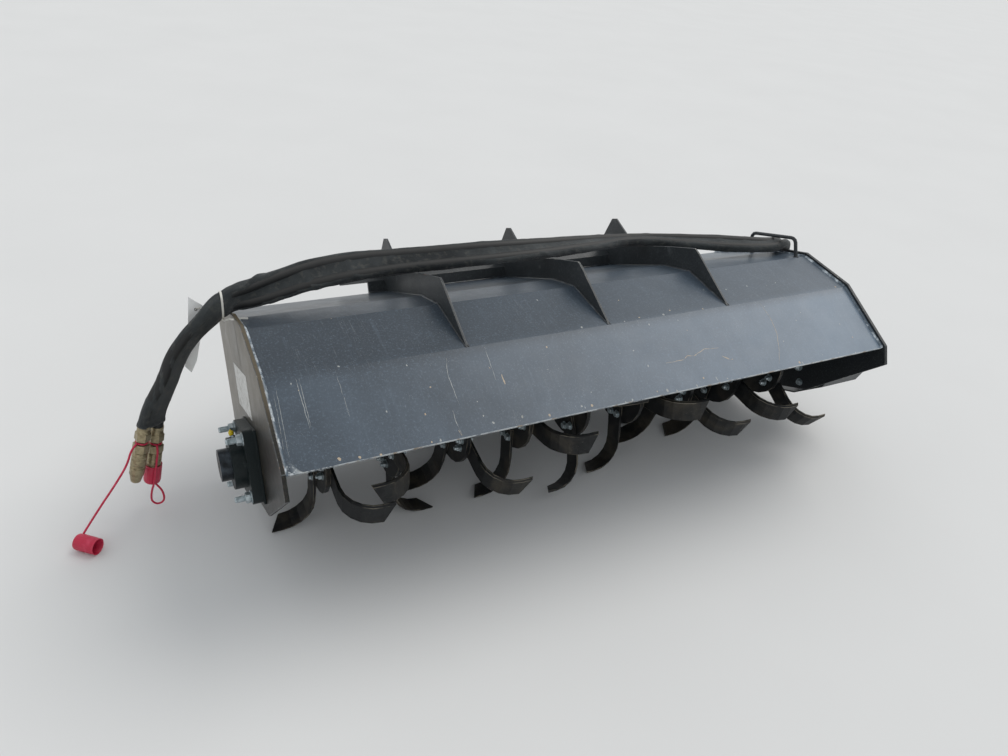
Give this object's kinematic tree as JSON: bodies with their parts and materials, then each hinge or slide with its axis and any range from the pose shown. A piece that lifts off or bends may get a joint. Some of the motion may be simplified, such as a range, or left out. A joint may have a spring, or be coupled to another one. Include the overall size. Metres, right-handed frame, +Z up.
{
  "type": "loader-mounted rotary tiller",
  "caption": "Wide soil tiller attachment: faceted hood over a rotor of bent tines turned by a hydraulic motor, with a loader plate and hoses.",
  "frame": {"origin": "middle of the footprint on the ground, hoses left out", "axes": "+X along the rotor to the motor end, +Y back to the loader, +Z up; parked tipped back 24.3 degrees"},
  "size_m": [2.472, 0.9062, 0.6916],
  "materials": {
    "black_paint": "gloss black enamel, dusty and scratched",
    "green_casting": "dark green enamel on cast iron",
    "bearing_steel": "dull bluish steel",
    "motor_black": "black enamel",
    "tine_steel": "black paint worn at the edges",
    "hose_sleeve": "woven black sleeve",
    "zinc": "yellowed zinc plate",
    "red_plastic": "soft red plastic"
  },
  "bodies": {
    "frame": {"bearing_housing": "green_casting", "bearing_pad": "black_paint", "cap_strap_front": "red_plastic", "cap_strap_rear": "red_plastic", "coupler_front": "zinc", "coupler_rear": "zinc", "dust_cap_front": "red_plastic", "dust_cap_rear": "red_plastic", "end_plate_left": "black_paint", "end_plate_right": "black_paint", "gusset_centre": "black_paint", "gusset_left": "black_paint", "gusset_right": "black_paint", "hood_shell": "black_paint", "hose_front": "hose_sleeve", "hose_hoop": "black_paint", "hose_rear": "hose_sleeve", "motor": "motor_black", "motor_elbow_front": "motor_black", "motor_elbow_rear": "motor_black", "motor_guard": "black_paint", "mount_foot": "black_paint", "mount_lip": "black_paint", "mount_upright": "black_paint", "rear_beam": "black_paint"},
    "rotor": {"bearing_insert": "bearing_steel", "rotor_tube": "black_paint", "tine_ring_1": "tine_steel", "tine_ring_2": "tine_steel", "tine_ring_3": "tine_steel", "tine_ring_4": "tine_steel", "tine_ring_5": "tine_steel", "tine_ring_6": "tine_steel", "tine_ring_7": "tine_steel", "tine_ring_8": "tine_steel", "tine_ring_9": "tine_steel"}
  },
  "joints": [
    {"name": "rotor_spin", "type": "hinge", "parent": "frame", "child": "rotor", "pos_m": [-0.041, -0.09142, 0.274], "axis": [1, 0, 0], "continuous": true}
  ]
}
